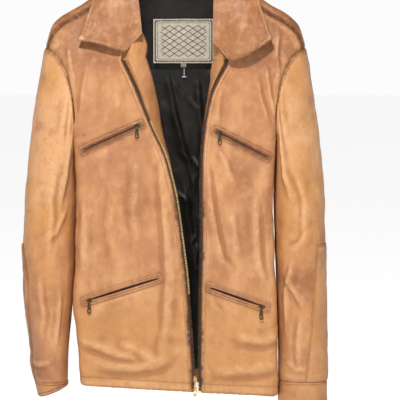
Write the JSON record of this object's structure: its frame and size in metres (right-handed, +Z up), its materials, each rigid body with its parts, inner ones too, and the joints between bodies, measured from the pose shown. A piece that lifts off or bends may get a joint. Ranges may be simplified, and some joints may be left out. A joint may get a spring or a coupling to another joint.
{
  "type": "leather riding jacket",
  "caption": "Tan leather zip jacket with a wide collar, slanted zip pockets, elbow patches and a satin lining, hanging open.",
  "frame": {"origin": "centre of the back neck seam, where the hanging loop is sewn", "axes": "+Z up along the hanging jacket, -Y the front, +X the wearer's left"},
  "size_m": [0.5757, 0.1428, 0.83],
  "materials": {
    "leather": "soft tan cow hide",
    "leather_dark": "tan cow hide, darker at the stitched folds",
    "satin": "near-black satin lining",
    "tape": "woven zip tape",
    "brass": "antique brass",
    "gunmetal": "dark plated metal",
    "label": "silver grey woven label, plain",
    "tab": "cream woven tab, plain",
    "nylon": "clear white nylon",
    "cotton": "brown cotton pocketing",
    "wadding": "white wadding"
  },
  "bodies": {
    "jacket_body": {"front_panel_right": "leather", "front_panel_left": "leather", "back_yoke": "leather", "back_panel": "leather", "front_facing_right": "leather", "front_facing_left": "leather", "collar_fall": "leather", "hem_band": "leather_dark", "collar_stand": "leather_dark", "hang_loop": "leather_dark", "chest_pocket_right_welt": "leather_dark", "chest_pocket_left_welt": "leather_dark", "waist_pocket_right_welt": "leather_dark", "waist_pocket_left_welt": "leather_dark", "front_lining_right": "satin", "front_lining_left": "satin", "back_lining": "satin", "zip_tape_right": "tape", "zip_tape_left": "tape", "chest_pocket_right_zip": "tape", "chest_pocket_left_zip": "tape", "waist_pocket_right_zip": "tape", "waist_pocket_left_zip": "tape", "zip_teeth_right": "brass", "zip_teeth_left": "brass", "zip_box": "brass", "zip_pin": "brass", "neck_label": "label", "size_tab": "tab", "tag_pin": "nylon", "chest_pocket_right_bag": "cotton", "chest_pocket_left_bag": "cotton", "waist_pocket_right_bag": "cotton", "waist_pocket_left_bag": "cotton", "shoulder_pad_right": "wadding", "shoulder_pad_left": "wadding"},
    "chest_slider_right": {"chest_pocket_right_slider": "gunmetal"},
    "chest_pull_right": {"chest_pocket_right_pull": "gunmetal"},
    "chest_slider_left": {"chest_pocket_left_slider": "gunmetal"},
    "chest_pull_left": {"chest_pocket_left_pull": "gunmetal"},
    "waist_slider_right": {"waist_pocket_right_slider": "brass"},
    "waist_pull_right": {"waist_pocket_right_pull": "brass"},
    "waist_slider_left": {"waist_pocket_left_slider": "brass"},
    "waist_pull_left": {"waist_pocket_left_pull": "brass"},
    "front_slider": {"zip_slider": "brass"},
    "front_pull": {"zip_pull": "brass"},
    "upper_arm_right": {"upper_sleeve_right": "leather", "upper_sleeve_lining_right": "satin"},
    "forearm_right": {"forearm_sleeve_right": "leather", "forearm_sleeve_lining_right": "satin", "elbow_patch_right": "leather", "cuff_right": "leather_dark"},
    "upper_arm_left": {"upper_sleeve_left": "leather", "upper_sleeve_lining_left": "satin"},
    "forearm_left": {"forearm_sleeve_left": "leather", "forearm_sleeve_lining_left": "satin", "elbow_patch_left": "leather", "cuff_left": "leather_dark"}
  },
  "joints": [
    {"name": "chest_zip_right", "type": "slide", "parent": "jacket_body", "child": "chest_slider_right", "axis": [-0.9135, 0, -0.4068], "range_m": [0, 0.1005]},
    {"name": "chest_tab_right", "type": "hinge", "parent": "chest_slider_right", "child": "chest_pull_right", "pos_m": [-0.07085, -0.1041, -0.24935], "axis": [-1, 0, 0], "range_deg": [0, 110]},
    {"name": "chest_zip_left", "type": "slide", "parent": "jacket_body", "child": "chest_slider_left", "axis": [0.8906, 0, -0.4547], "range_m": [0, 0.0912]},
    {"name": "chest_tab_left", "type": "hinge", "parent": "chest_slider_left", "child": "chest_pull_left", "pos_m": [0.08268, -0.1041, -0.26141], "axis": [-1, 0, 0], "range_deg": [0, 110]},
    {"name": "waist_zip_right", "type": "slide", "parent": "jacket_body", "child": "waist_slider_right", "axis": [0.9547, 0, 0.2976], "range_m": [0, 0.1263]},
    {"name": "waist_tab_right", "type": "hinge", "parent": "waist_slider_right", "child": "waist_pull_right", "pos_m": [-0.15984, -0.1041, -0.57267], "axis": [-1, 0, 0], "range_deg": [0, 110]},
    {"name": "waist_zip_left", "type": "slide", "parent": "jacket_body", "child": "waist_slider_left", "axis": [-0.9433, 0, 0.332], "range_m": [0, 0.0926]},
    {"name": "waist_tab_left", "type": "hinge", "parent": "waist_slider_left", "child": "waist_pull_left", "pos_m": [0.15993, -0.1041, -0.58381], "axis": [-1, 0, 0], "range_deg": [0, 110]},
    {"name": "front_zip", "type": "slide", "parent": "jacket_body", "child": "front_slider", "axis": [-0.0706, 0, 0.9975], "range_m": [0, 0.17]},
    {"name": "front_tab", "type": "hinge", "parent": "front_slider", "child": "front_pull", "pos_m": [0.03694, -0.104, -0.721], "axis": [-1, 0, 0], "range_deg": [0, 110]},
    {"name": "sleeve_lift_right", "type": "hinge", "parent": "jacket_body", "child": "upper_arm_right", "pos_m": [-0.245, -0.032, -0.1], "axis": [0, 1, 0], "range_deg": [0, 50]},
    {"name": "elbow_bend_right", "type": "hinge", "parent": "upper_arm_right", "child": "forearm_right", "pos_m": [-0.234, -0.103, -0.455], "axis": [-1, 0, 0], "range_deg": [0, 65]},
    {"name": "sleeve_lift_left", "type": "hinge", "parent": "jacket_body", "child": "upper_arm_left", "pos_m": [0.245, -0.032, -0.1], "axis": [0, -1, 0], "range_deg": [0, 50]},
    {"name": "elbow_bend_left", "type": "hinge", "parent": "upper_arm_left", "child": "forearm_left", "pos_m": [0.234, -0.103, -0.455], "axis": [-1, 0, 0], "range_deg": [0, 65]}
  ]
}
